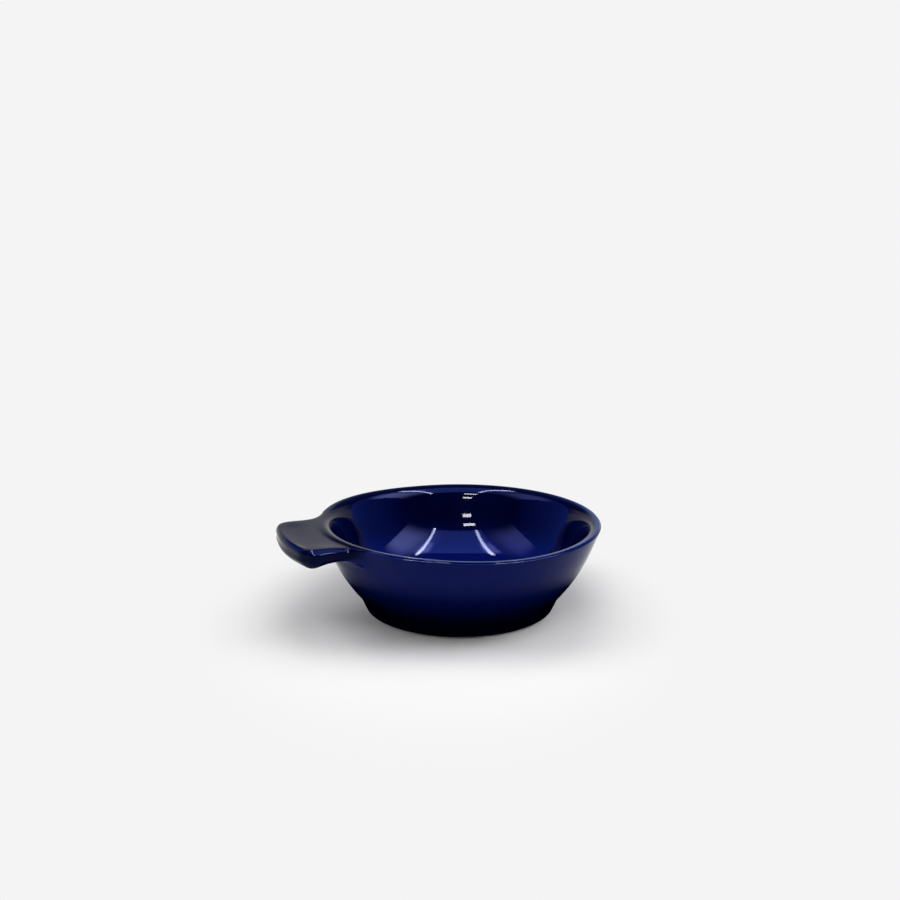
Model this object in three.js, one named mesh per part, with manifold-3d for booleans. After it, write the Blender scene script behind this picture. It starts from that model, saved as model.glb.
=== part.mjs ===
// A small round serving dish of glazed stoneware with one flat lug handle at the rim.
// The clay bowl and its lug are two pieces of clay, joined with a film of slip, and a coat of
// glaze covers them down to a bare foot ring. Millimetres, +Z up, the lug points along -X.
import * as THREE from "three";
import { mergeVertices } from "three/addons/utils/BufferGeometryUtils.js";
import Module from "manifold-3d";

const wasm = await Module();
wasm.setup();

// Bowl. Outside sizes are those of the finished, glazed dish.
const rimRadius = 60; // outside of the lip
const dishHeight = 38; // table to the top of the lip
const lipRadius = 1; // rounding of the lip's outside
const lipAngle = THREE.MathUtils.degToRad(69); // slope of the wall just under the lip
const wallFootAngle = THREE.MathUtils.degToRad(50.5); // slope of the wall just above the foot
const wallFullness = 0.43; // pull of both slopes on the outside curve, as a share of its chord
const footRadius = 40; // outside of the foot at the table
const footFlare = 3.2; // how much wider the foot is where the wall starts
const footHeight = 6.8; // table to the start of the wall
const footRingWidth = 5; // ring that the dish stands on
const recessDepth = 2.2; // hollow under the dish, inside the foot ring
const recessSlope = 1.6; // run of the slanting side of that hollow
const floorThickness = 4.8; // clay and glaze between the hollow and the inside floor
const innerLipRadius = 5; // the lip rolls over into the well with this rounding
const lipEasesAt = THREE.MathUtils.degToRad(61.5); // slope at which the roll gets wider
const easedLipRadius = 28; // rounding of the roll from there on
const innerLipAngle = THREE.MathUtils.degToRad(68); // slope of the well just under the lip
const wellRadius = 27; // flat part of the inside floor
const coveReach = 17; // how far the inside curve holds level before it climbs
const wellFullness = 0.38; // pull of that slope on the inside curve, as a share of its height

// Lug handle, finished sizes
const lugLength = 17.8; // how far the middle of the lug stands out from the lip
const lugWaistWidth = 46; // narrowest, just outside the lip
const lugEndWidth = 47.5; // across the flared end
const lugEndBow = 3; // how far the middle of the end stands out from its corners
const lugThickness = 7.3; // at the sides of the end
const lugBelly = 0.6; // how far the middle of its underside hangs below that, towards the end
const lugNeckThickness = 5.3; // just outside the lip
const lugSeat = 0.35; // how far the lug's top lies under the lip's top where they meet
const lugRootDepth = 0.5; // how far the lug's root reaches into the wall
const lugTurnUp = 0.1; // how far the end's edges stand above the lip
const lugCornerRadius = 7; // corners of the end, seen from above
const lugEdgeRadius = 3.3; // rounding of its sides and of the lower edge of its end
const lugTopEdgeRadius = 1.6; // rounding of the upper edge of its end
const rootFilletRadius = 12; // sweep of each side into the rim, seen from above
const underFilletRadius = 6; // sweep of the underside into the wall
const thumbDish = 0.5; // depth of the hollow on top
const rimLift = 1.5; // the rim climbs this much towards the lug
const rimLiftStart = THREE.MathUtils.degToRad(100); // the climb starts this far round from the lug
const rimLiftEnd = THREE.MathUtils.degToRad(35); // and ends this far from its middle

// Layers
const glazeThickness = 0.4;
const layerGap = 0.3; // modelling clearance between touching layers
const slipThickness = 0.6; // slip between lug and wall
const glazeLine = 0.9; // the glaze is wiped off below this height

// Fineness of the curved faces
const turnSegments = 60;
const wallSegments = 7;
const lipSegments = 6;
const innerLipSegments = 5;
const easedLipSegments = 2;
const wellSegments = 9;
const filletSegments = 7;
const endSegments = 5;
const edgeSegments = 4;
const lugTopSegments = 6;

const clayInset = glazeThickness + layerGap; // the clay lies this far under the finished surface
const lugReach = rimRadius + lugLength;
const floorHeight = recessDepth + floorThickness;
const trimBelow = clayInset + 0.5; // the foot is drawn this much too long, then trimmed at the table

// Solids from closed geometry, and back

function solidOf(geometry) {
  geometry.deleteAttribute("normal");
  geometry.deleteAttribute("uv");
  const merged = mergeVertices(geometry, 1e-4);
  const corners = [];
  for (let i = 0; i < merged.index.count; i += 3) {
    const [a, b, c] = [0, 1, 2].map((k) => merged.index.getX(i + k));
    if (a !== b && b !== c && c !== a) corners.push(a, b, c);
  }
  return new wasm.Manifold(
    new wasm.Mesh({
      numProp: 3,
      vertProperties: merged.attributes.position.array,
      triVerts: new Uint32Array(corners),
    }),
  );
}

// The rim climbs a little towards the lug, and everything near it climbs along.
function withLiftedRim(solid) {
  const { smoothstep } = THREE.MathUtils;
  return solid.warp((point) => {
    const [x, y, z] = point;
    const turn = Math.atan2(Math.abs(y), -x);
    const near = 1 - smoothstep(turn, rimLiftEnd, rimLiftStart);
    point[2] = z + rimLift * near * smoothstep(z, floorHeight, dishHeight);
  });
}

function geometryOf(solid) {
  const mesh = solid.getMesh();
  const geometry = new THREE.BufferGeometry();
  geometry.setAttribute("position", new THREE.BufferAttribute(mesh.vertProperties, 3));
  geometry.setIndex(new THREE.BufferAttribute(mesh.triVerts, 1));
  geometry.computeVertexNormals();
  return geometry;
}

// Turned forms. A profile is a list of (radius, height) points from the axis round to the axis.

function turned(profile) {
  return solidOf(new THREE.LatheGeometry(profile, turnSegments).rotateX(Math.PI / 2));
}

// Moves each point of a profile to its left by a distance, keeping the ends where they are.
function insetProfile(points, distance) {
  const leftNormal = (from, to) => {
    const along = to.clone().sub(from).normalize();
    return new THREE.Vector2(-along.y, along.x);
  };
  return points.map((point, i) => {
    if (i === 0 || i === points.length - 1) return point.clone();
    const before = leftNormal(points[i - 1], point);
    const after = leftNormal(point, points[i + 1]);
    const mitre = before.add(after).normalize();
    return point.clone().addScaledVector(mitre, distance / mitre.dot(after));
  });
}

// Outside of the finished dish, from just under the table up to the crest of the lip
function outsideProfile() {
  const footEnd = footRadius - (footFlare / footHeight) * trimBelow;
  const foot = new THREE.Vector2(footEnd, -trimBelow);
  const wallStart = new THREE.Vector2(footRadius + footFlare, footHeight);
  const lipCentre = new THREE.Vector2(rimRadius - lipRadius, dishHeight - lipRadius);
  const outward = new THREE.Vector2(Math.sin(lipAngle), -Math.cos(lipAngle));
  const wallEnd = lipCentre.clone().addScaledVector(outward, lipRadius);
  const pull = wallFullness * wallStart.distanceTo(wallEnd);
  const startSlope = new THREE.Vector2(Math.cos(wallFootAngle), Math.sin(wallFootAngle));
  const endSlope = new THREE.Vector2(Math.cos(lipAngle), Math.sin(lipAngle));
  const wall = new THREE.CubicBezierCurve(
    wallStart,
    wallStart.clone().addScaledVector(startSlope, pull),
    wallEnd.clone().addScaledVector(endSlope, -pull),
    wallEnd,
  ).getPoints(wallSegments);
  const lip = new THREE.EllipseCurve(
    lipCentre.x,
    lipCentre.y,
    lipRadius,
    lipRadius,
    lipAngle - Math.PI / 2,
    Math.PI / 2,
  ).getPoints(lipSegments);
  return [foot, ...wall, ...lip.slice(1)];
}

// Inside of the finished dish, from the crest of the lip down to the middle of the floor
function insideProfile() {
  const easing = lipEasesAt + Math.PI / 2;
  const lip = new THREE.EllipseCurve(
    rimRadius - lipRadius,
    dishHeight - innerLipRadius,
    innerLipRadius,
    innerLipRadius,
    Math.PI / 2,
    easing,
  ).getPoints(innerLipSegments);
  const lipEnd = lip[lip.length - 1];
  const easedLip = new THREE.EllipseCurve(
    lipEnd.x - easedLipRadius * Math.cos(easing),
    lipEnd.y - easedLipRadius * Math.sin(easing),
    easedLipRadius,
    easedLipRadius,
    easing,
    innerLipAngle + Math.PI / 2,
  ).getPoints(easedLipSegments);
  const wellStart = easedLip[easedLip.length - 1];
  const pull = wellFullness * (wellStart.y - floorHeight);
  const well = new THREE.CubicBezierCurve(
    wellStart,
    new THREE.Vector2(wellStart.x - pull / Math.tan(innerLipAngle), wellStart.y - pull),
    new THREE.Vector2(wellRadius + coveReach, floorHeight),
    new THREE.Vector2(wellRadius, floorHeight),
  ).getPoints(wellSegments);
  return [...lip.slice(1), ...easedLip.slice(1), ...well.slice(1), new THREE.Vector2(0, floorHeight)];
}

// Underside of the finished dish, from the axis out to the foot ring's inner edge
function underProfile() {
  const ringInside = footRadius - footRingWidth;
  return [
    new THREE.Vector2(0, recessDepth),
    new THREE.Vector2(ringInside - recessSlope, recessDepth),
    new THREE.Vector2(ringInside + (recessSlope / recessDepth) * trimBelow, -trimBelow),
  ];
}

// The whole dish without its lug, its surface lying this far under the finished one.
// The foot ring always stands on the table.
function bowlForm(inset) {
  const profile = insetProfile([...underProfile(), ...outsideProfile(), ...insideProfile()], inset);
  profile[0].y = recessDepth + inset;
  profile[profile.length - 1].y = floorHeight - inset;
  return turned(profile).trimByPlane([0, 0, 1], 0);
}

// The outside of the dish filled to the axis and on up past the lip, its wall lying this far
// under the finished one
function bowlPlug(inset) {
  const outside = outsideProfile();
  const top = dishHeight + lugThickness;
  const profile = insetProfile([new THREE.Vector2(0, -trimBelow), ...outside], inset);
  profile[0].y = inset - trimBelow;
  const crest = profile[profile.length - 1];
  crest.y = dishHeight - inset;
  return turned([...profile, new THREE.Vector2(crest.x, top), new THREE.Vector2(0, top)]);
}

// Lug handle. s runs out from the bowl's axis along the lug, and inset is as above.

// How far a round has fallen this far past its start, up to where it gets as steep as allowed
function fall(past, radius, steepest = Math.PI / 2) {
  const run = THREE.MathUtils.clamp(past, 0, radius * Math.sin(steepest));
  return radius - Math.sqrt(radius * radius - run * run);
}

// Where the side of the lug leaves the rim, and where its sweep out of the rim ends
function rootSweep() {
  const centreDistance = rimRadius + rootFilletRadius;
  const waist = Math.sqrt(centreDistance ** 2 - (lugWaistWidth / 2 + rootFilletRadius) ** 2);
  return { waist, rimTouch: (waist * rimRadius) / centreDistance };
}

// 0 where the sweep out of the rim ends, 1 at the end of the lug
function alongLug(s) {
  const { waist } = rootSweep();
  return THREE.MathUtils.clamp((s - waist) / (lugReach - waist), 0, 1);
}

function lugHalfWidth(s, inset) {
  const sweep = fall(rootSweep().waist - s, rootFilletRadius + inset);
  const corner = fall(s - lugReach + lugCornerRadius, lugCornerRadius - inset);
  const flare = alongLug(s) ** 2;
  return THREE.MathUtils.lerp(lugWaistWidth, lugEndWidth, flare) / 2 - inset + sweep - corner;
}

// Height of the lug's top at its side edges
function lugTop(s, inset) {
  const climb = THREE.MathUtils.smoothstep(s, rimRadius - lipRadius, rimRadius + lugLength / 2);
  const level = dishHeight - lugSeat + (lugSeat + lugTurnUp) * climb;
  return level - inset - fall(s - lugReach + lugTopEdgeRadius, lugTopEdgeRadius - inset);
}

// Height of the lug's underside, leaving out its sweep into the wall
function lugUnderside(s, inset) {
  const neckLevel = dishHeight - lugSeat - lugNeckThickness;
  const endLevel = dishHeight + lugTurnUp - lugThickness;
  const drop = THREE.MathUtils.smoothstep(alongLug(s), 0, 0.7);
  const level = THREE.MathUtils.lerp(neckLevel, endLevel, drop);
  return level + inset + fall(s - lugReach + lugEdgeRadius, lugEdgeRadius - inset);
}

// Drop of the underside where it sweeps into the wall, by distance from the bowl's axis
function underSweep(distance, inset) {
  const neckBelowLip = lugSeat + lugNeckThickness - lipRadius;
  const wallThere = rimRadius - neckBelowLip / Math.tan(lipAngle);
  const start = wallThere + underFilletRadius * Math.tan(lipAngle / 2);
  return fall(start - distance, underFilletRadius + inset, lipAngle);
}

// One cross-section of the lug: a bar with round edges, a hollow along its top and a full underside.
// Next to the bowl it leans like the wall.
function lugSection(s, inset) {
  const top = lugTop(s, inset);
  const underside = lugUnderside(s, inset);
  const edge = Math.min(lugEdgeRadius - inset, 0.48 * (top - underside));
  const halfWidth = lugHalfWidth(s, inset);
  const flat = halfWidth - edge;
  const overLug = THREE.MathUtils.clamp((s - rimRadius) / lugLength, 0, 1);
  const dish = thumbDish * Math.sin(Math.PI * overLug);
  const belly = lugBelly * alongLug(s);
  const bow = lugEndBow * alongLug(s);
  const { waist, rimTouch } = rootSweep();
  const root = THREE.MathUtils.clamp((waist - s) / (waist - rimTouch), 0, 1);
  const points = [];
  const add = (y, z, sweeps) => {
    const underLip = Math.max(dishHeight - lipRadius - z, 0);
    const lean = underLip / Math.tan(lipAngle) + lugRootDepth;
    const x = bow * (y / halfWidth) ** 2 - s + root * lean;
    const drop = sweeps ? underSweep(Math.hypot(x, y), inset) : 0;
    points.push(new THREE.Vector3(x, y, z - drop));
  };
  const corner = (y, z, from) => {
    for (let k = 0; k <= edgeSegments; k++) {
      const angle = from + (k / edgeSegments) * (Math.PI / 2);
      add(y + edge * Math.cos(angle), z + edge * Math.sin(angle), from >= Math.PI);
    }
  };
  corner(flat, top - edge, 0);
  for (let k = 1; k < lugTopSegments; k++) {
    const across = 1 - (2 * k) / lugTopSegments;
    add(flat * across, top - dish * (1 - across * across), false);
  }
  corner(-flat, top - edge, Math.PI / 2);
  corner(-flat, underside + edge, Math.PI);
  for (let k = 1; k < lugTopSegments; k++) {
    const across = (2 * k) / lugTopSegments - 1;
    add(flat * across, underside - belly * (1 - across * across), true);
  }
  corner(flat, underside + edge, 1.5 * Math.PI);
  return points;
}

// Skin over a row of closed sections. Each end is closed from its upper half to its lower half.
function loft(sections) {
  const count = sections[0].length;
  const lastRing = (sections.length - 1) * count;
  const corners = [];
  const quad = (a, b, c, d) => corners.push(a, b, c, a, c, d);
  for (let k = 0; k < count; k++) {
    const next = (k + 1) % count;
    for (let here = 0; here < lastRing; here += count) {
      quad(here + k, here + count + k, here + count + next, here + next);
    }
  }
  for (let k = 0; k + 1 < count / 2; k++) {
    const across = count - 1 - k;
    quad(k, k + 1, across - 1, across);
    quad(lastRing + across, lastRing + across - 1, lastRing + k + 1, lastRing + k);
  }
  const geometry = new THREE.BufferGeometry().setFromPoints(sections.flat());
  geometry.setIndex(corners);
  return solidOf(geometry);
}

function lugForm(inset) {
  const { waist, rimTouch } = rootSweep();
  const stations = [];
  for (let k = 0; k < filletSegments; k++) {
    stations.push(THREE.MathUtils.lerp(rimTouch, waist, k / filletSegments));
  }
  stations.push(waist);
  const endStart = lugReach - lugCornerRadius;
  for (let k = 0; k <= endSegments; k++) {
    const turn = (k / endSegments) * (Math.PI / 2);
    stations.push(endStart + (lugCornerRadius - inset) * Math.sin(turn));
  }
  return loft(stations.map((s) => lugSection(s, inset)));
}

// Bowl and lug in one, for the glaze that runs over both
function dishForm(inset) {
  return bowlForm(inset).add(lugForm(inset).subtract(bowlPlug(inset + lipRadius)));
}

function glazeBodies() {
  const footBlock = solidOf(
    new THREE.CylinderGeometry(rimRadius, rimRadius, glazeLine, turnSegments)
      .rotateX(Math.PI / 2)
      .translate(0, 0, glazeLine / 2),
  );
  const bodies = dishForm(0).subtract(dishForm(glazeThickness)).subtract(footBlock).decompose();
  return bodies.sort((a, b) => b.volume() - a.volume());
}

const [overGlaze, underGlaze] = glazeBodies();
const slipOutside = clayInset - layerGap - slipThickness;
const clayLug = lugForm(clayInset);
const slipLug = lugForm(clayInset + layerGap); // the slip ends a little inside the lug's outline

const glaze = new THREE.MeshStandardMaterial({ color: 0x101f66, roughness: 0.08, metalness: 0 });
const clay = new THREE.MeshStandardMaterial({ color: 0xd8cdbb, roughness: 0.85, metalness: 0 });
const slip = new THREE.MeshStandardMaterial({ color: 0xcbbfab, roughness: 0.9, metalness: 0 });

const pieces = [
  ["bowl_body", bowlForm(clayInset), clay],
  ["lug_handle", clayLug.subtract(bowlPlug(slipOutside - layerGap)), clay],
  [
    "luting_slip",
    slipLug.intersect(bowlPlug(slipOutside)).subtract(bowlPlug(clayInset - layerGap)),
    slip,
  ],
  ["glaze_coat", overGlaze, glaze],
  ["base_glaze", underGlaze, glaze],
];

const dish = new THREE.Group();
for (const [name, solid, material] of pieces) {
  const mesh = new THREE.Mesh(geometryOf(withLiftedRim(solid)), material);
  mesh.name = name;
  dish.add(mesh);
}
// The origin is the middle of the whole footprint, on the table.
dish.children.forEach((mesh) => (mesh.position.x = lugLength / 2));

export default dish;
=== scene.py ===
# A small round dish of dark blue glazed stoneware with one flat lug handle.
# The glaze is one skin over bowl and lug, down to a bare clay foot ring.
import math

import bmesh
import bpy
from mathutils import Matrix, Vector
from mathutils.geometry import interpolate_bezier


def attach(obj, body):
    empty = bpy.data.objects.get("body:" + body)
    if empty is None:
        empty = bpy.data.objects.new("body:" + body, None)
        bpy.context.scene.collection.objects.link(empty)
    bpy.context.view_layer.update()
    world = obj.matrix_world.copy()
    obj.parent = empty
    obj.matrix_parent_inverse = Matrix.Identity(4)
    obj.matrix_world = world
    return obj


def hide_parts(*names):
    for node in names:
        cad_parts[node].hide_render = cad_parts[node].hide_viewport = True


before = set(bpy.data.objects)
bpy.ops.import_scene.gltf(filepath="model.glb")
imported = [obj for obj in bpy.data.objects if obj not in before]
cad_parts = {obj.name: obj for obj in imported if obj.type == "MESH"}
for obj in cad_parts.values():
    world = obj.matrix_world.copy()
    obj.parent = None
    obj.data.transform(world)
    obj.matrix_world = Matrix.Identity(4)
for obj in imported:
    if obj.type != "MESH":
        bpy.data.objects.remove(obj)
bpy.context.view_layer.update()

MM = 0.001

# Bowl, finished sizes in millimetres, heights above the table
bowl_axis_x = 8.9
rim_radius = 59.9
dish_height = 37.94
lip_radius = 1.0
lip_slope = math.radians(69)
inner_lip_radius = 5.0
inner_lip_slope = math.radians(68)
lip_eases_at = math.radians(61.5)
eased_lip_radius = 28
wall_foot_slope = math.radians(50.5)
wall_fullness = 0.43
foot_radius = 40
foot_flare = 3.2
foot_height = 6.8
foot_ring_width = 5
recess_depth = 2.2
recess_slope = 1.6
floor_height = 7
well_radius = 27
cove_reach = 17
well_fullness = 0.38
rim_lift = 1.5
rim_lift_start = math.radians(100)
rim_lift_end = math.radians(35)

# Lug handle
lug_reach = 77.72
lug_waist_width = 46
lug_end_width = 47.5
lug_belly = 0.6
lug_thickness = 7.3
lug_neck_thickness = 5.3
lug_neck_share = 0.7
lug_seat = 0.35
lug_turn_up = 0.1
lug_corner_radius = 7
lug_edge_radius = 3.3
lug_edge_share = 0.48
lug_top_edge_radius = 1.6
root_fillet_radius = 12
under_fillet_radius = 6
thumb_dish = 0.5

# Layers
glaze_thickness = 0.4
clay_inset = 0.7
glaze_line = 0.9
foot_edge = 0.5

# Rows and columns of the cages that the smooth surfaces are drawn from
sectors = 48
skin_levels = 2
foot_rows = [glaze_line, 2.4, 4.2]
wall_points = 11
lip_outer_angles = [16, 53, 90]
lip_inner_angles = [114, 143]
well_points = 10
floor_rows = [18, 9, 0]
lug_wall_rows = 3
lug_half_sectors = 4
lug_side_angles = [-62, -36, -12, 12, 36, 62]
base_rows = [0, 12, 24]
recess_corner = 1
clay_corner_rise = 0.4
glaze_corner_rise = 0.35
recess_middle = 1.4

# Marks on the glaze: a paler lip, partly thin glaze and partly a painted highlight strongest on the
# near lip; the glaze on the outer wall; and painted light in the well
highlight_fade_at_back = 0.8
lip_highlight_full_until = -20
lip_highlight_faded_from = 40
outer_wall_margin = 1
well_light_full_below = 4
well_light_gone_above = 18
base_well_light = 0.8


def smooth_step(low, high, value):
    share = min(max((value - low) / (high - low), 0), 1)
    return share * share * (3 - 2 * share)


def blend(start, end, share):
    return start + (end - start) * share


# Line of the finished surface, as points of (radius, 0, height)


def point(radius, height):
    return Vector((radius, 0, height))


def turned_to(angle):
    return point(math.cos(angle), math.sin(angle))


def lip_point(degrees):
    """A point on the small round at the top and the outside of the lip."""
    centre = point(rim_radius - lip_radius, dish_height - lip_radius)
    return centre + lip_radius * turned_to(math.radians(degrees))


def inner_lip_point(degrees):
    """A point on the rolled inside of the lip, which eases into a wider round on its way down."""
    angle = math.radians(degrees)
    rolled_to = min(angle, lip_eases_at + math.pi / 2)
    centre = point(rim_radius - lip_radius, dish_height - inner_lip_radius)
    eased = eased_lip_radius * (turned_to(angle) - turned_to(rolled_to))
    return centre + inner_lip_radius * turned_to(rolled_to) + eased


def foot_points():
    """Side of the foot, from the wiped edge of the glaze up to where the wall starts."""
    return [point(foot_radius + foot_flare * z / foot_height, z) for z in foot_rows]


def wall_curve():
    start = point(foot_radius + foot_flare, foot_height)
    end = lip_point(math.degrees(lip_slope) - 90)
    pull = wall_fullness * (end - start).length
    leaving = start + pull * turned_to(wall_foot_slope)
    arriving = end - pull * turned_to(lip_slope)
    return interpolate_bezier(start, leaving, arriving, end, wall_points)


def well_curve():
    start = inner_lip_point(math.degrees(inner_lip_slope) + 90)
    drop = well_fullness * (start.z - floor_height)
    leaving = point(start.x - drop / math.tan(inner_lip_slope), start.z - drop)
    arriving = point(well_radius + cove_reach, floor_height)
    end = point(well_radius, floor_height)
    return interpolate_bezier(start, leaving, arriving, end, well_points)


def glaze_line_points():
    """The whole glazed line, from the foot over the lip to the middle of the inside floor."""
    outer_lip = [lip_point(degrees) for degrees in lip_outer_angles]
    inner_lip = [inner_lip_point(degrees) for degrees in lip_inner_angles]
    floor = [point(radius, floor_height) for radius in floor_rows]
    return foot_points() + wall_curve() + outer_lip + inner_lip + well_curve() + floor


def inset_line(line, distance):
    """The line moved to its left by a distance, square to it at each point."""
    moved = []
    for number, place in enumerate(line):
        before = line[max(number - 1, 0)]
        after = line[min(number + 1, len(line) - 1)]
        along = (after - before).normalized()
        moved.append(place + distance * point(-along.z, along.x))
    return moved


def clay_line():
    """The clay bowl, from the middle of its underside over the foot ring and lip to its floor."""
    steep = recess_slope / recess_depth
    ring_inside = foot_radius - foot_ring_width + clay_inset * math.hypot(1, steep)
    ring_outside = foot_radius - clay_inset * math.hypot(1, foot_flare / foot_height)
    top = recess_depth + clay_inset
    flat_end = ring_inside - steep * top - recess_corner
    under = [point(radius, top) for radius in base_rows + [flat_end]]
    heights = [top - clay_corner_rise, top / 2, foot_edge]
    slope = [point(ring_inside - steep * z, z) for z in heights]
    ring = [
        point(ring_inside + foot_edge, 0),
        point((ring_inside + ring_outside) / 2, 0),
        point(ring_outside - foot_edge, 0),
        point(ring_outside + foot_edge * foot_flare / foot_height, foot_edge),
    ]
    return under + slope + ring + inset_line(glaze_line_points(), clay_inset)


def base_line():
    """Glaze in the hollow under the dish, from its middle to the wiped edge inside the foot ring."""
    steep = recess_slope / recess_depth
    ring_inside = foot_radius - foot_ring_width
    flat_end = ring_inside - recess_slope - recess_corner
    flat = [point(radius, recess_depth) for radius in base_rows + [flat_end]]
    heights = [recess_depth - glaze_corner_rise, recess_middle, glaze_line]
    return flat + [point(ring_inside - steep * z, z) for z in heights]


lug_bottom_row = len(foot_points()) + wall_points - lug_wall_rows
crest_row = len(foot_points()) + wall_points + len(lip_outer_angles) - 1


# Lug handle. Along is the distance from the bowl's axis, out through the middle of the lug.


def fall(past, radius, steepest=math.pi / 2):
    """How far a round has fallen this far past its start, up to where it gets that steep."""
    run = min(max(past, 0), radius * math.sin(steepest))
    return radius - math.sqrt(radius * radius - run * run)


root_centre = rim_radius + root_fillet_radius
lug_waist = math.sqrt(root_centre**2 - (lug_waist_width / 2 + root_fillet_radius) ** 2)
rim_touch = lug_waist * rim_radius / root_centre


def share_of_lug(along):
    return min(max((along - lug_waist) / (lug_reach - lug_waist), 0), 1)


def lug_half_width(along):
    sweep = fall(lug_waist - along, root_fillet_radius)
    corner = fall(along - lug_reach + lug_corner_radius, lug_corner_radius)
    width = blend(lug_waist_width, lug_end_width, share_of_lug(along) ** 2)
    return width / 2 + sweep - corner


def lug_top(along):
    climb = smooth_step(rim_radius - lip_radius, (rim_radius + lug_reach) / 2, along)
    level = dish_height - lug_seat + (lug_seat + lug_turn_up) * climb
    return level - fall(along - lug_reach + lug_top_edge_radius, lug_top_edge_radius)


def lug_underside(along):
    neck_level = dish_height - lug_seat - lug_neck_thickness
    end_level = dish_height + lug_turn_up - lug_thickness
    past_neck = smooth_step(0, lug_neck_share, share_of_lug(along))
    level = blend(neck_level, end_level, past_neck)
    return level + fall(along - lug_reach + lug_edge_radius, lug_edge_radius)


def under_sweep(distance):
    """Drop of the underside where it sweeps into the wall, by distance from the bowl's axis."""
    neck_below_lip = lug_seat + lug_neck_thickness - lip_radius
    wall_there = rim_radius - neck_below_lip / math.tan(lip_slope)
    start = wall_there + under_fillet_radius * math.tan(lip_slope / 2)
    return fall(start - distance, under_fillet_radius, lip_slope)


# Rings of the lug's cage, each by its distance at the middle and at the sides
lug_rings = [
    (61.0, 56.2),
    (63.4, 61.2),
    (67.2, 66.4),
    (71.4, 69.8),
    (74.8, 72.4),
    (76.8, 74.0),
]
lug_end_dome = lug_reach - lug_rings[-1][0]
root_rings_end = lug_waist + 1


def lug_point(ring, column, row):
    """Where a corner of the lug's cage lies. Columns run across the lug, and rows run up."""
    middle, side = ring
    top_row = len(lug_side_angles) - 1
    half_width = lug_half_width(side if middle < root_rings_end else middle)
    top = lug_top(middle)
    underside = lug_underside(middle)
    edge = min(lug_edge_radius, lug_edge_share * (top - underside))
    flat = half_width - edge
    across = column / (lug_half_sectors - 1)
    over_lug = min(max((middle - rim_radius) / (lug_reach - rim_radius), 0), 1)
    dish = thumb_dish * math.sin(math.pi * over_lug)
    if abs(column) < lug_half_sectors:
        y = flat * across
        hollow = dish * (1 - across * across)
        belly = lug_belly * share_of_lug(middle) * (1 - across * across)
        z = blend(underside - belly, top - hollow, row / top_row)
    else:
        angle = math.radians(lug_side_angles[row])
        y = math.copysign(flat + edge * math.cos(angle), column)
        base = top - edge if angle > 0 else underside + edge
        z = base + edge * math.sin(angle)
    along = blend(middle, side, (y / half_width) ** 2)
    if 0 < row < top_row and abs(column) < lug_half_sectors:
        along += lug_end_dome
    lean = min(max((lug_waist - along) / (lug_waist - rim_touch), 0), 1) / math.tan(lip_slope)
    x = lean * max(dish_height - lip_radius - z, 0) - along
    if row == 0 or (abs(column) == lug_half_sectors and lug_side_angles[row] < 0):
        z -= under_sweep(math.hypot(x, y))
    return Vector((x, y, z))


# Making of meshes


def turned(line, steps):
    """A new mesh, the line spun round the bowl's axis. Each corner keeps its row in the line."""
    bm = bmesh.new()
    row = bm.verts.layers.int.new("row")
    corners = [bm.verts.new(place) for place in line]
    for number, corner in enumerate(corners):
        corner[row] = number
    for lower, upper in zip(corners, corners[1:]):
        bm.edges.new((lower, upper))
    bmesh.ops.spin(
        bm,
        geom=bm.verts[:] + bm.edges[:],
        cent=(0, 0, 0),
        axis=(0, 0, 1),
        angle=math.tau,
        steps=steps,
        use_merge=True,
    )
    bmesh.ops.remove_doubles(bm, verts=bm.verts, dist=1e-3)
    bmesh.ops.recalc_face_normals(bm, faces=bm.faces)
    return bm


def shape_rim(bm):
    """The rim climbs a little towards the lug."""
    for corner in bm.verts:
        x, y, z = corner.co
        turn = math.atan2(abs(y), -x)
        near = 1 - smooth_step(rim_lift_end, rim_lift_start, turn)
        corner.co.z += rim_lift * near * smooth_step(floor_height, dish_height, z)


def made_piece(name, bm, finish):
    """The mesh as a piece, brought to its place in metres."""
    bmesh.ops.translate(bm, vec=(bowl_axis_x, 0, 0), verts=bm.verts)
    bmesh.ops.scale(bm, vec=(MM, MM, MM), verts=bm.verts)
    mesh = bpy.data.meshes.new(name)
    bm.to_mesh(mesh)
    bm.free()
    mesh.shade_smooth()
    mesh.materials.append(finish)
    piece = bpy.data.objects.new(name, mesh)
    bpy.context.scene.collection.objects.link(piece)
    return piece


def add_lug(bm):
    """Draws the lug out of the lip and the upper wall, ring by ring."""
    row = bm.verts.layers.int["row"]
    column = bm.verts.layers.int.new("column")
    for corner in bm.verts:
        turn = math.atan2(corner.co.y, -corner.co.x)
        corner[column] = round(turn * sectors / math.tau)
    end = [
        face
        for face in bm.faces
        if all(
            lug_bottom_row <= corner[row] <= crest_row
            and abs(corner[column]) <= lug_half_sectors
            for corner in face.verts
        )
    ]
    for ring in lug_rings:
        drawn = bmesh.ops.extrude_face_region(bm, geom=end)["geom"]
        bmesh.ops.delete(bm, geom=end, context="FACES")
        end = [part for part in drawn if isinstance(part, bmesh.types.BMFace)]
        for corner in [part for part in drawn if isinstance(part, bmesh.types.BMVert)]:
            corner.co = lug_point(ring, corner[column], corner[row] - lug_bottom_row)


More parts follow.
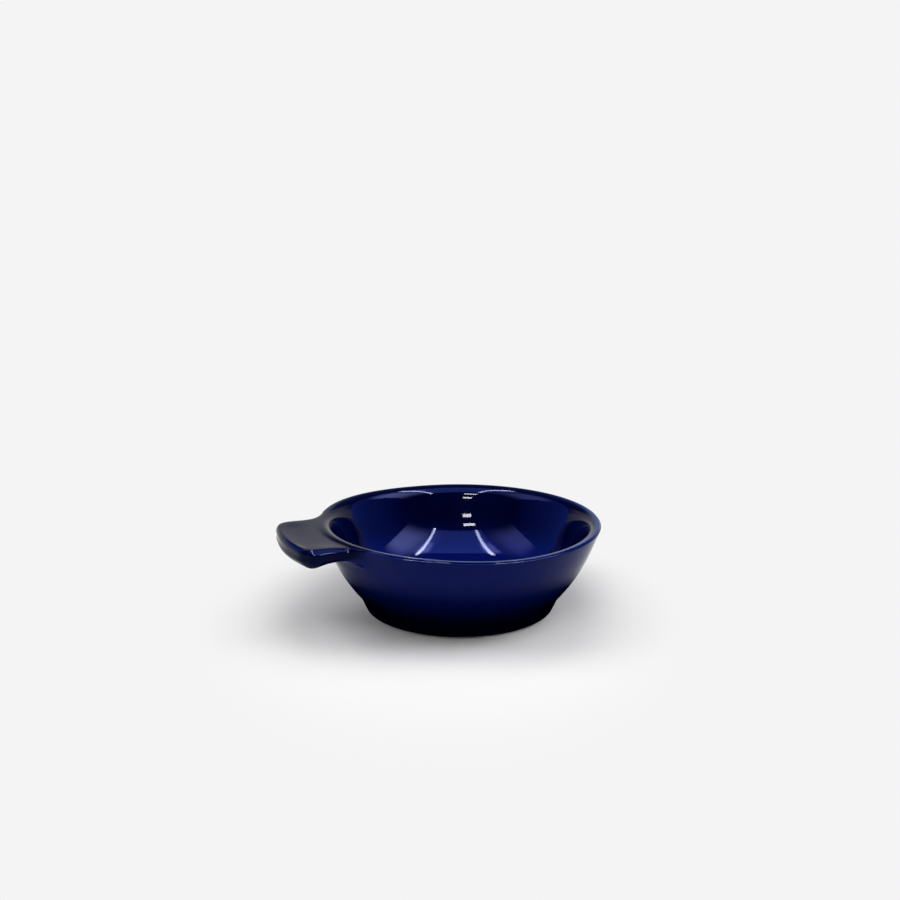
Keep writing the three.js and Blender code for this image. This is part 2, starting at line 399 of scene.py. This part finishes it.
def mark_glaze(bm):
    """Marks the paler lip, partly thin glaze and partly painted highlight, the outer wall, and the
    painted light in the well.
    """
    row = bm.verts.layers.int["row"]
    column = bm.verts.layers.int["column"]
    thin_lip_and_highlight = bm.verts.layers.float.new("thin_glaze_and_highlight")
    outer = bm.verts.layers.float.new("outer_glaze")
    well_light = bm.verts.layers.float.new("painted_well_light")
    for corner in bm.verts:
        x, y, z = corner.co
        # Paler lip: partly thin glaze, partly a painted highlight that is strongest on the near side of
        # the lip
        if corner[row] == crest_row and abs(corner[column]) > lug_half_sectors:
            corner[thin_lip_and_highlight] = 1 - highlight_fade_at_back * smooth_step(lip_highlight_full_until, lip_highlight_faded_from, y)
        if corner[row] < crest_row - 1 and math.hypot(x, y) < rim_radius + outer_wall_margin:
            corner[outer] = 1
        # Painted light: a lighter blue in the well, where light falls on its floor and cove
        if corner[row] > crest_row:
            corner[well_light] = 1 - smooth_step(well_light_full_below, well_light_gone_above, z - floor_height)


def smooth_skin(piece):
    skin = piece.modifiers.new("smooth_skin", "SUBSURF")
    skin.levels = skin_levels
    skin.render_levels = skin_levels


def settle(piece, rounds=8):
    """Moves the cage until its smoothed surface runs through the points it was drawn with."""
    wanted = [corner.co.copy() for corner in piece.data.vertices]
    for _ in range(rounds):
        shown = piece.evaluated_get(bpy.context.evaluated_depsgraph_get())
        smoothed = shown.data.vertices
        errors = [place - smoothed[i].co for i, place in enumerate(wanted)]
        for corner, error in zip(piece.data.vertices, errors):
            corner.co += error
        piece.data.update()


def add_coat(piece):
    """Gives a skin of glaze its thickness, inwards from the finished surface."""
    coat = piece.modifiers.new("coat", "SOLIDIFY")
    coat.thickness = glaze_thickness * MM
    coat.offset = -1


# Making of finishes


def colour(red, green, blue):
    """A colour written 0 to 255, for a shader."""
    shares = [part / 255 for part in (red, green, blue)]
    return [s / 12.92 if s <= 0.04045 else ((s + 0.055) / 1.055) ** 2.4 for s in shares] + [1]


def new_finish(name):
    finish = bpy.data.materials.new(name)
    finish.use_nodes = True
    tree = finish.node_tree
    return finish, tree, tree.nodes["Principled BSDF"]


def matt_finish(name, shade):
    finish, tree, shader = new_finish(name)
    shader.inputs["Base Color"].default_value = shade
    shader.inputs["Roughness"].default_value = 1
    shader.inputs["Specular IOR Level"].default_value = 0
    return finish, tree, shader


def node(tree, kind, inputs=None, **settings):
    made = tree.nodes.new("ShaderNode" + kind)
    for name, value in settings.items():
        setattr(made, name, value)
    for name, value in (inputs or {}).items():
        if isinstance(value, bpy.types.NodeSocket):
            tree.links.new(value, made.inputs[name])
        else:
            made.inputs[name].default_value = value
    return made


def reckoned(tree, operation, *values, clamp=False):
    inputs = dict(enumerate(values))
    return node(tree, "Math", inputs, operation=operation, use_clamp=clamp).outputs[0]


def ranged(tree, value, start, end, low=0, high=1, smooth=False):
    """A value brought from one range to another, and kept inside it."""
    inputs = {"Value": value, "From Min": start, "From Max": end, "To Min": low, "To Max": high}
    kind = "SMOOTHSTEP" if smooth else "LINEAR"
    return node(tree, "MapRange", inputs, interpolation_type=kind).outputs["Result"]


def noise(tree, place, scale, detail, roughness=0.5):
    inputs = {"Vector": place, "Scale": scale, "Detail": detail, "Roughness": roughness}
    return node(tree, "TexNoise", inputs).outputs["Fac"]


def measured(tree, operation, *places):
    inputs = dict(enumerate(places))
    return node(tree, "VectorMath", inputs, operation=operation).outputs["Value"]


def marked(tree, layer):
    return node(tree, "Attribute", attribute_name=layer).outputs["Fac"]


def mixed(tree, share, under, over):
    return node(tree, "Mix", {0: share, 6: under, 7: over}, data_type="RGBA").outputs[2]


def between(tree, value, stops):
    """A value turned into a colour between two shades, each given with its place."""
    ramp = node(tree, "ValToRGB", {"Fac": value})
    for element, (place, shade) in zip(ramp.color_ramp.elements, stops):
        element.position = place
        element.color = shade
    return ramp.outputs["Color"]


def add_bump(tree, shader, height, strength, depth):
    bump = node(tree, "Bump", {"Strength": strength, "Distance": depth * MM, "Height": height})
    tree.links.new(bump.outputs["Normal"], shader.inputs["Normal"])


def blue_glaze():
    """Cobalt glaze with clouds and specks: paler on the lip, partly thin glaze and partly painted
    highlight, painted light in the well, and painted shade darker towards the foot.
    """
    finish, tree, shader = new_finish("blue_glaze")
    place = node(tree, "TexCoord").outputs["Object"]
    clouds = noise(tree, place, 55, 4, 0.6)
    shade = between(tree, clouds, [(0.36, colour(0, 2, 36)), (0.66, colour(1, 5, 47))])
    # Painted light in the well, a lighter blue
    well_light = marked(tree, "painted_well_light")
    shade = mixed(tree, well_light, shade, colour(3, 13, 80))
    shade = mixed(tree, marked(tree, "outer_glaze"), shade, colour(3, 17, 82))
    # Paler lip: partly thin glaze, partly a painted highlight
    thin_and_highlight_share = ranged(tree, marked(tree, "thin_glaze_and_highlight"), 0, 1, high=0.55)
    shade = mixed(tree, thin_and_highlight_share, shade, colour(45, 85, 165))
    # Painted shade: the outside darkens towards the foot
    height = node(tree, "SeparateXYZ", {"Vector": place}).outputs["Z"]
    foot_shade_from = 32 * MM
    foot_shade_full_at = 6 * MM
    painted_foot_shade = ranged(tree, height, foot_shade_from, foot_shade_full_at, smooth=True)
    foot_shade_outside_well = reckoned(tree, "SUBTRACT", painted_foot_shade, well_light, clamp=True)
    shade = mixed(tree, foot_shade_outside_well, shade, colour(0, 2, 18))
    speck_share = ranged(tree, noise(tree, place, 1400, 1), 0.66, 0.78, high=0.35)
    shade = mixed(tree, speck_share, shade, colour(0, 4, 30))
    tree.links.new(shade, shader.inputs["Base Color"])
    gloss = ranged(tree, clouds, 0.3, 0.7, low=0.02, high=0.05)
    tree.links.new(gloss, shader.inputs["Roughness"])
    add_bump(tree, shader, noise(tree, place, 130, 2), 0.025, 0.4)
    shader.inputs["Specular IOR Level"].default_value = 0.07
    shader.inputs["Specular Tint"].default_value = (0.6, 0.66, 1, 1)
    return finish


def clay_finish(name, pale, dark):
    """Bare fired clay, uneven in shade and gritty."""
    finish, tree, shader = new_finish(name)
    place = node(tree, "TexCoord").outputs["Object"]
    shade = between(tree, noise(tree, place, 120, 6, 0.65), [(0.3, dark), (0.7, pale)])
    grit = noise(tree, place, 2200, 2)
    grit_share = ranged(tree, grit, 0.62, 0.72, high=0.5)
    shade = mixed(tree, grit_share, shade, colour(120, 104, 84))
    tree.links.new(shade, shader.inputs["Base Color"])
    add_bump(tree, shader, grit, 0.5, 0.2)
    shader.inputs["Roughness"].default_value = 0.85
    return finish


glaze = blue_glaze()
clay = clay_finish("fired_clay", colour(224, 214, 196), colour(206, 193, 172))
slip = clay_finish("fired_slip", colour(210, 198, 178), colour(194, 180, 158))

# Glaze over bowl and lug
glaze_mesh = turned(glaze_line_points(), sectors)
add_lug(glaze_mesh)
mark_glaze(glaze_mesh)
shape_rim(glaze_mesh)
glaze_mesh.verts.layers.int.remove(glaze_mesh.verts.layers.int["row"])
glaze_mesh.verts.layers.int.remove(glaze_mesh.verts.layers.int["column"])
bmesh.ops.recalc_face_normals(glaze_mesh, faces=glaze_mesh.faces)
glaze_skin = made_piece("glaze_skin", glaze_mesh, glaze)
smooth_skin(glaze_skin)
settle(glaze_skin)
add_coat(glaze_skin)
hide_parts("glaze_coat")
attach(glaze_skin, "root")

# Clay bowl, bare at its foot ring
clay_mesh = turned(clay_line(), sectors)
shape_rim(clay_mesh)
clay_bowl = made_piece("clay_bowl", clay_mesh, clay)
smooth_skin(clay_bowl)
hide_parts("bowl_body")
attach(clay_bowl, "root")

# Glaze in the hollow inside the foot ring
base_mesh = turned(base_line(), sectors)
# The hollow under the foot gets most of the well's painted light colour
well_light_layer = base_mesh.verts.layers.float.new("painted_well_light")
for corner in base_mesh.verts:
    corner[well_light_layer] = base_well_light
if sum(face.normal.z for face in base_mesh.faces) > 0:
    bmesh.ops.reverse_faces(base_mesh, faces=base_mesh.faces)
base_pool = made_piece("base_pool", base_mesh, glaze)
smooth_skin(base_pool)
settle(base_pool)
add_coat(base_pool)
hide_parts("base_glaze")
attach(base_pool, "root")

# Lug and slip under the glaze
for name, finish in (("lug_handle", clay), ("luting_slip", slip)):
    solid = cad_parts[name]
    solid.data.materials.clear()
    solid.data.materials.append(finish)

# The way the camera looks, in plan
view_turn = math.radians(24)
straight_back = Vector((math.sin(view_turn), math.cos(view_turn), 0))


def how_far_back(tree, place):
    return measured(tree, "DOT_PRODUCT", place, straight_back)


def about_axis(right, away, up):
    """A place given as the camera sees it: right, away and up from the bowl's axis."""
    x = right * math.cos(view_turn) + away * math.sin(view_turn)
    y = away * math.cos(view_turn) - right * math.sin(view_turn)
    return Vector((x, y, up))


def as_seen(right, away, up):
    """The same place in the scene, in metres."""
    return (about_axis(right, away, up) + Vector((bowl_axis_x, 0, 0))) * MM


# Floor and backdrop, one white sweep all round. The shadow ends nearer at the sides than in front.
floor_white = colour(244, 244, 244)
shadow_from = 56 * MM
shadow_to = 108 * MM
shadow_squeeze = 0.3
sweep_middle = 1000
sweep_flat_end = 3400
sweep_radius = 4000
sweep_bend = 400
sweep_bend_hold = 100
sweep_height = 900


def white_sweep():
    """Lit near the dish, where its shadow lies, and its own plain white farther off."""
    finish, tree, shader = matt_finish("white_sweep", floor_white)
    ray = node(tree, "LightPath").outputs
    seen = reckoned(tree, "ADD", ray["Is Camera Ray"], ray["Is Glossy Ray"])
    seen = reckoned(tree, "ADD", seen, ray["Is Transmission Ray"], clamp=True)
    place = node(tree, "TexCoord").outputs["Object"]
    squeeze = reckoned(tree, "MULTIPLY", how_far_back(tree, place), shadow_squeeze)
    shift = node(tree, "VectorMath", {0: straight_back, "Scale": squeeze}, operation="SCALE").outputs[0]
    distance = measured(tree, "DISTANCE", place, shift)
    far = ranged(tree, distance, shadow_from, shadow_to, smooth=True)
    share = reckoned(tree, "MULTIPLY", seen, far)
    plain = node(tree, "Emission", {"Color": floor_white, "Strength": 1}).outputs[0]
    both = node(tree, "MixShader", {0: share, 1: shader.outputs[0], 2: plain}).outputs[0]
    tree.links.new(both, tree.nodes["Material Output"].inputs["Surface"])
    return finish


sweep_line = [point(0, 0), point(sweep_middle, 0), point(sweep_flat_end, 0)]
sweep_line += interpolate_bezier(
    point(sweep_radius - sweep_bend, 0),
    point(sweep_radius - sweep_bend_hold, 0),
    point(sweep_radius, sweep_bend_hold),
    point(sweep_radius, sweep_bend),
    8,
)
sweep_line += [point(sweep_radius, sweep_height)]
sweep = made_piece("white_sweep", turned(sweep_line, 64), white_sweep())
sweep.data.flip_normals()


# Lamps


def lamp_panel(
    name,
    middle,
    width,
    length,
    radiance,
    soft=(0, 0),
    tint=(1, 1, 1),
    turn=0,
    aim=None,
    in_gloss=True,
    on_objects=True,
):
    """A flat lamp. It faces straight down, its length running away from the camera, or is aimed.
    Soft is the share of its half width and half length over which it fades towards its edges."""
    hard_edge = 0.99
    lamp = bpy.data.lights.new(name, "AREA")
    lamp.color = tint
    lamp.shape = "RECTANGLE"
    lamp.size = width * MM
    lamp.size_y = length * MM
    lamp.energy = radiance * math.pi * lamp.size * lamp.size_y
    if any(soft):
        lamp.use_nodes = True
        tree = lamp.node_tree
        across = node(tree, "SeparateXYZ", {0: node(tree, "NewGeometry").outputs["Parametric"]})
        fades = []
        for side, share in zip("XY", soft):
            centred = ranged(tree, across.outputs[side], 0, 1, low=-1)
            off_middle = reckoned(tree, "ABSOLUTE", centred)
            fades.append(ranged(tree, off_middle, 1, hard_edge * (1 - share), smooth=True))
        glow = reckoned(tree, "MULTIPLY", *fades)
        tree.links.new(glow, tree.nodes["Emission"].inputs["Strength"])
    panel = bpy.data.objects.new(name, lamp)
    panel.location = as_seen(*middle)
    panel.rotation_euler.z = math.radians(turn) - view_turn
    if aim:
        facing = as_seen(*aim) - panel.location
        panel.rotation_euler = facing.to_track_quat("-Z", "Y").to_euler()
    panel.visible_glossy = in_gloss
    panel.visible_diffuse = on_objects
    bpy.context.scene.collection.objects.link(panel)


# Lamps that only the glaze shows, as reflections. Each has its middle, as the camera sees it, then its
# width, length, radiance, softness, tint and turn in degrees.
white = (1, 1, 1)
warm = (1, 0.92, 0.66)
dim_blue = (0.48, 0.5, 1)
ceiling_blue = (0.18, 0.28, 1)
right_blue = (0.5, 0.55, 1)
left_blue = (0.4, 0.43, 1)
right_turn = 7.2
left_turn = -3.2
gloss_lamps = {
    "right_strip": ((178, -93, 400), 30, 440, 125, (0.7, 0.05), white, right_turn),
    "right_skirt": ((158, 0, 405), 84, 230, 24, (0.5, 0.6), dim_blue, right_turn),
    "right_strip_near": ((206, -311, 400), 30, 20, 330, (0.5, 0.3), white, right_turn),
    "right_strip_far": ((151, 107, 400), 20, 56, 230, (0.5, 0.5), white, right_turn),
    "left_strip": ((-119, -92, 400), 30, 430, 110, (0.7, 0.05), white, left_turn),
    "left_skirt": ((-130, 0, 405), 92, 230, 18, (0.5, 0.6), dim_blue, left_turn),
    "left_strip_near": ((-131, -298, 400), 28, 20, 260, (0.5, 0.3), white, left_turn),
    "left_strip_far": ((-106, 108, 400), 19, 56, 220, (0.5, 0.5), white, left_turn),
    "front_bar_low": ((-88, -400, 400), 105, 40, 185, (0, 0), warm, 0),
    "front_bar_high": ((-80, -544, 400), 92, 42, 185, (0, 0), warm, 0),
    "ceiling": ((17, -112, 420), 420, 440, 12, (0.15, 0.12), ceiling_blue, 0),
    "right_glow": ((420, -60, 425), 660, 600, 24, (0.8, 0.8), right_blue, 0),
    "left_glow": ((-440, -60, 425), 660, 600, 12, (0.8, 0.8), left_blue, 0),
}
for name, (middle, width, length, radiance, soft, tint, turn) in gloss_lamps.items():
    lamp_panel(name, middle, width, length, radiance, soft, tint, turn, on_objects=False)

# Lamps that light the dish and the floor, each with its middle, width, length and radiance
fills = {
    "fill_top": ((17, -40, 420), 300, 400, 1.4),
    "fill_back": ((0, 270, 640), 500, 400, 0.3),
    "fill_front": ((0, -700, 800), 600, 600, 1.7),
    "fill_left": ((-500, 0, 500), 400, 400, 4.5),
    "fill_right": ((500, 0, 500), 400, 400, 4.8),
}
for name, (middle, width, length, radiance) in fills.items():
    lamp_panel(name, middle, width, length, radiance, aim=(0, 0, 0), in_gloss=False)


# Dark blue cloths at both sides of the table for the glaze to mirror, and a dark card round the foot,
# painted shade for the floor's shadow there, which only the glaze mirrors
black = colour(0, 0, 0)
cloth_blue = (0.07, 0.15, 1, 1)
cloth_level = 3.4
cloth_dark_until = -420 * MM
cloth_full_from = 50 * MM
cloth_distance = 700
cloth_bottom = 105
cloth_top = 900
cloth_from = math.radians(54)
cloth_to = math.radians(122)
card_radius = 74
card_height = 0.3
card_fades_from = 53 * MM
card_fades_to = 72 * MM


def dark_cloth():
    """Black cloth with a dim blue glow, which fades out towards the camera."""
    finish, tree, shader = matt_finish("dark_cloth", black)
    backward = how_far_back(tree, node(tree, "TexCoord").outputs["Object"])
    glow = ranged(tree, backward, cloth_dark_until, cloth_full_from, high=cloth_level, smooth=True)
    shader.inputs["Emission Color"].default_value = cloth_blue
    tree.links.new(glow, shader.inputs["Emission Strength"])
    return finish


def painted_shade_card():
    """Black card that fades out towards its edge, painted shade standing in for the floor's shadow
    round the foot.
    """
    finish, tree, shader = matt_finish("painted_shade_card", black)
    place = node(tree, "TexCoord").outputs["Object"]
    from_axis = measured(tree, "DISTANCE", place, (bowl_axis_x * MM, 0, 0))
    cover = ranged(tree, from_axis, card_fades_from, card_fades_to, low=1, high=0, smooth=True)
    tree.links.new(cover, shader.inputs["Alpha"])
    return finish


def for_reflections(name, bm, finish):
    """A thing beside the dish that is seen only as a reflection in the glaze."""
    thing = made_piece(name, bm, finish)
    thing.visible_camera = False
    thing.visible_diffuse = False
    thing.visible_shadow = False


cloth = dark_cloth()
cloth_corners = [
    (cloth_from, cloth_bottom),
    (cloth_to, cloth_bottom),
    (cloth_to, cloth_top),
    (cloth_from, cloth_top),
]
for side in (-1, 1):
    cloth_mesh = bmesh.new()
    corners = []
    for turn, height in cloth_corners:
        right = side * cloth_distance * math.sin(turn)
        away = cloth_distance * math.cos(turn)
        corners.append(cloth_mesh.verts.new(about_axis(right, away, height)))
    cloth_mesh.faces.new(corners)
    for_reflections(f"side_cloth_{side}", cloth_mesh, cloth)
# Painted shade: a dark card round the foot, standing in for the floor's shadow as the glaze mirrors it
card_mesh = bmesh.new()
bmesh.ops.create_circle(card_mesh, cap_ends=True, segments=48, radius=card_radius)
bmesh.ops.translate(card_mesh, verts=card_mesh.verts, vec=(0, 0, card_height))
for_reflections("floor_shade_card", card_mesh, painted_shade_card())

# Grey wall behind the table, dim everywhere else
wall_level = 0.7
room_level = 0.06
wall_starts_at = 0.45
wall_full_at = 0.7
wall_top = 0.45
wall_full_below = 0.33
world = bpy.data.worlds.new("studio")
bpy.context.scene.world = world
world.use_nodes = True
sky = world.node_tree
looking = node(sky, "TexCoord").outputs["Generated"]
behind = ranged(sky, how_far_back(sky, looking), wall_starts_at, wall_full_at, smooth=True)
up = node(sky, "SeparateXYZ", {"Vector": looking}).outputs["Z"]
low = ranged(sky, up, wall_top, wall_full_below, smooth=True)
wall = reckoned(sky, "MULTIPLY", behind, low)
level = ranged(sky, wall, 0, 1, low=room_level, high=wall_level)
sky.links.new(level, sky.nodes["Background"].inputs["Strength"])
sky.nodes["Background"].inputs["Color"].default_value = (1, 1, 1, 1)

# Camera
camera_place = Vector((-183.0, -430.2, 177.3)) * MM
camera_target = Vector((5.07, 1.53, 68.4)) * MM
lens = bpy.data.cameras.new("camera")
lens.lens = 45.9
lens.sensor_width = 36
lens.clip_start = 0.01
camera = bpy.data.objects.new("camera", lens)
camera.location = camera_place
camera.rotation_euler = (camera_target - camera_place).to_track_quat("-Z", "Y").to_euler()
bpy.context.scene.collection.objects.link(camera)
bpy.context.scene.camera = camera
bpy.context.scene.view_settings.view_transform = "Standard"
